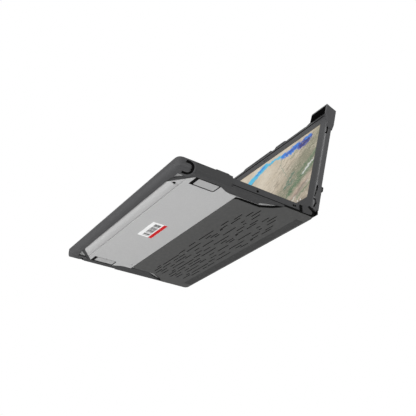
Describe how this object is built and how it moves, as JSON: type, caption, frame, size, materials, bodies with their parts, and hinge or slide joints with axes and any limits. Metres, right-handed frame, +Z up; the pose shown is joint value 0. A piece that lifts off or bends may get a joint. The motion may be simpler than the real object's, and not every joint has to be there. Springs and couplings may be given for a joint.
{
  "type": "field data collector",
  "caption": "Clamshell notebook data collector for field work in a push-fit bumper case, with a hinged lid, corner hoods, vented underside and sinking keys.",
  "frame": {"origin": "centre of the protective case's underside, at the height of the plane it rests on", "axes": "+X to the user's right, -Y towards the user, +Z up; the lid is hinged along X at the rear"},
  "size_m": [0.336, 0.3103, 0.2335],
  "materials": {
    "case_dark": "fine grained, dark grey",
    "bumper": "smooth satin, dark grey",
    "panel_grey": "smooth, light grey, slightly warm",
    "case_plate": "matte, charcoal",
    "grip": "ribbed, charcoal",
    "seal": "matte black",
    "label_white": "printed film, white",
    "label_red": "printed film, red",
    "label_black": "printed film, black",
    "notebook_silver": "fine silver paint",
    "notebook_dark": "fine dark grey paint",
    "steel": "plain bright steel",
    "aluminium_sheet": "mill finish",
    "copper": "dull copper",
    "battery_black": "matte wrap, black",
    "circuit_board": "solder mask, green",
    "speaker_black": "matte black",
    "membrane": "translucent off-white",
    "touchpad_face": "satin, dark grey",
    "keycap": "fine texture, black",
    "lid_case": "fine grained, dark grey",
    "lid_hood": "fine grained, dark grey, black inside",
    "screen_glass": "matte display film over a lit picture"
  },
  "bodies": {
    "base": {"case_frame": "case_dark", "front_bumper": "bumper", "bottom_panel": "panel_grey", "rear_vent_plate": "case_plate", "grip_strips": "grip", "panel_seals": "seal", "asset_label": "label_white", "label_stripe": "label_red", "label_bars": "label_black", "rear_corner_clips": "case_dark", "side_seals": "seal", "rear_hinge_guard": "seal", "notebook_bottom_cover": "notebook_silver", "cover_screws": "steel", "battery_pack": "battery_black", "mainboard": "circuit_board", "heat_spreader": "copper", "storage_module": "circuit_board", "wireless_card": "circuit_board", "speakers": "speaker_black", "audio_socket": "speaker_black", "data_ports": "steel", "lock_plate": "steel", "keyboard_plate": "aluminium_sheet", "keyboard_membrane": "membrane", "keyboard_deck": "notebook_dark", "touchpad_bracket": "aluminium_sheet", "display_cable": "speaker_black", "hinge_bracket_left": "steel", "hinge_bracket_right": "steel", "hinge_screws": "steel", "hinge_washers": "steel"},
    "lid": {"lid_shell": "lid_case", "lid_seals": "seal", "lid_tail": "seal", "corner_hood_left": "lid_hood", "corner_hood_right": "lid_hood", "lid_hooks": "seal", "display_back_cover": "notebook_silver", "display_bezel": "notebook_dark", "display_panel": "screen_glass", "camera_module": "speaker_black", "display_bumpers": "seal", "antennas": "aluminium_sheet", "hinge_arm_left": "steel", "hinge_arm_right": "steel", "hinge_cover_left": "notebook_dark", "hinge_cover_right": "notebook_dark"},
    "touchpad": {"touchpad": "touchpad_face"},
    "power_button": {"power_button": "touchpad_face"},
    "camera_shutter": {"camera_shutter": "keycap"},
    "keys_function": {"keys_function": "keycap"},
    "keys_number": {"keys_number": "keycap"},
    "keys_upper": {"keys_upper": "keycap"},
    "keys_home": {"keys_home": "keycap"},
    "keys_lower": {"keys_lower": "keycap"},
    "keys_space": {"keys_space": "keycap"}
  },
  "joints": [
    {"name": "lid_hinge", "type": "hinge", "parent": "base", "child": "lid", "pos_m": [0, 0.1102, 0.01246], "axis": [-1, 0, 0], "range_deg": [-107.2, 27.8]},
    {"name": "touchpad_hinge", "type": "hinge", "parent": "base", "child": "touchpad", "pos_m": [0, -0.0246, 0.0135], "axis": [1, 0, 0], "range_deg": [0, 0.8]},
    {"name": "power_button_slide", "type": "slide", "parent": "base", "child": "power_button", "axis": [0, 0, -1], "range_m": [0, 0.0004]},
    {"name": "keys_function_slide", "type": "slide", "parent": "base", "child": "keys_function", "axis": [0, 0, -1], "range_m": [0, 0.0012]},
    {"name": "keys_number_slide", "type": "slide", "parent": "base", "child": "keys_number", "axis": [0, 0, -1], "range_m": [0, 0.0012]},
    {"name": "keys_upper_slide", "type": "slide", "parent": "base", "child": "keys_upper", "axis": [0, 0, -1], "range_m": [0, 0.0012]},
    {"name": "keys_home_slide", "type": "slide", "parent": "base", "child": "keys_home", "axis": [0, 0, -1], "range_m": [0, 0.0012]},
    {"name": "keys_lower_slide", "type": "slide", "parent": "base", "child": "keys_lower", "axis": [0, 0, -1], "range_m": [0, 0.0012]},
    {"name": "keys_space_slide", "type": "slide", "parent": "base", "child": "keys_space", "axis": [0, 0, -1], "range_m": [0, 0.0012]},
    {"name": "camera_shutter_slide", "type": "slide", "parent": "lid", "child": "camera_shutter", "axis": [-1, 0, 0], "range_m": [0, 0.007]}
  ]
}
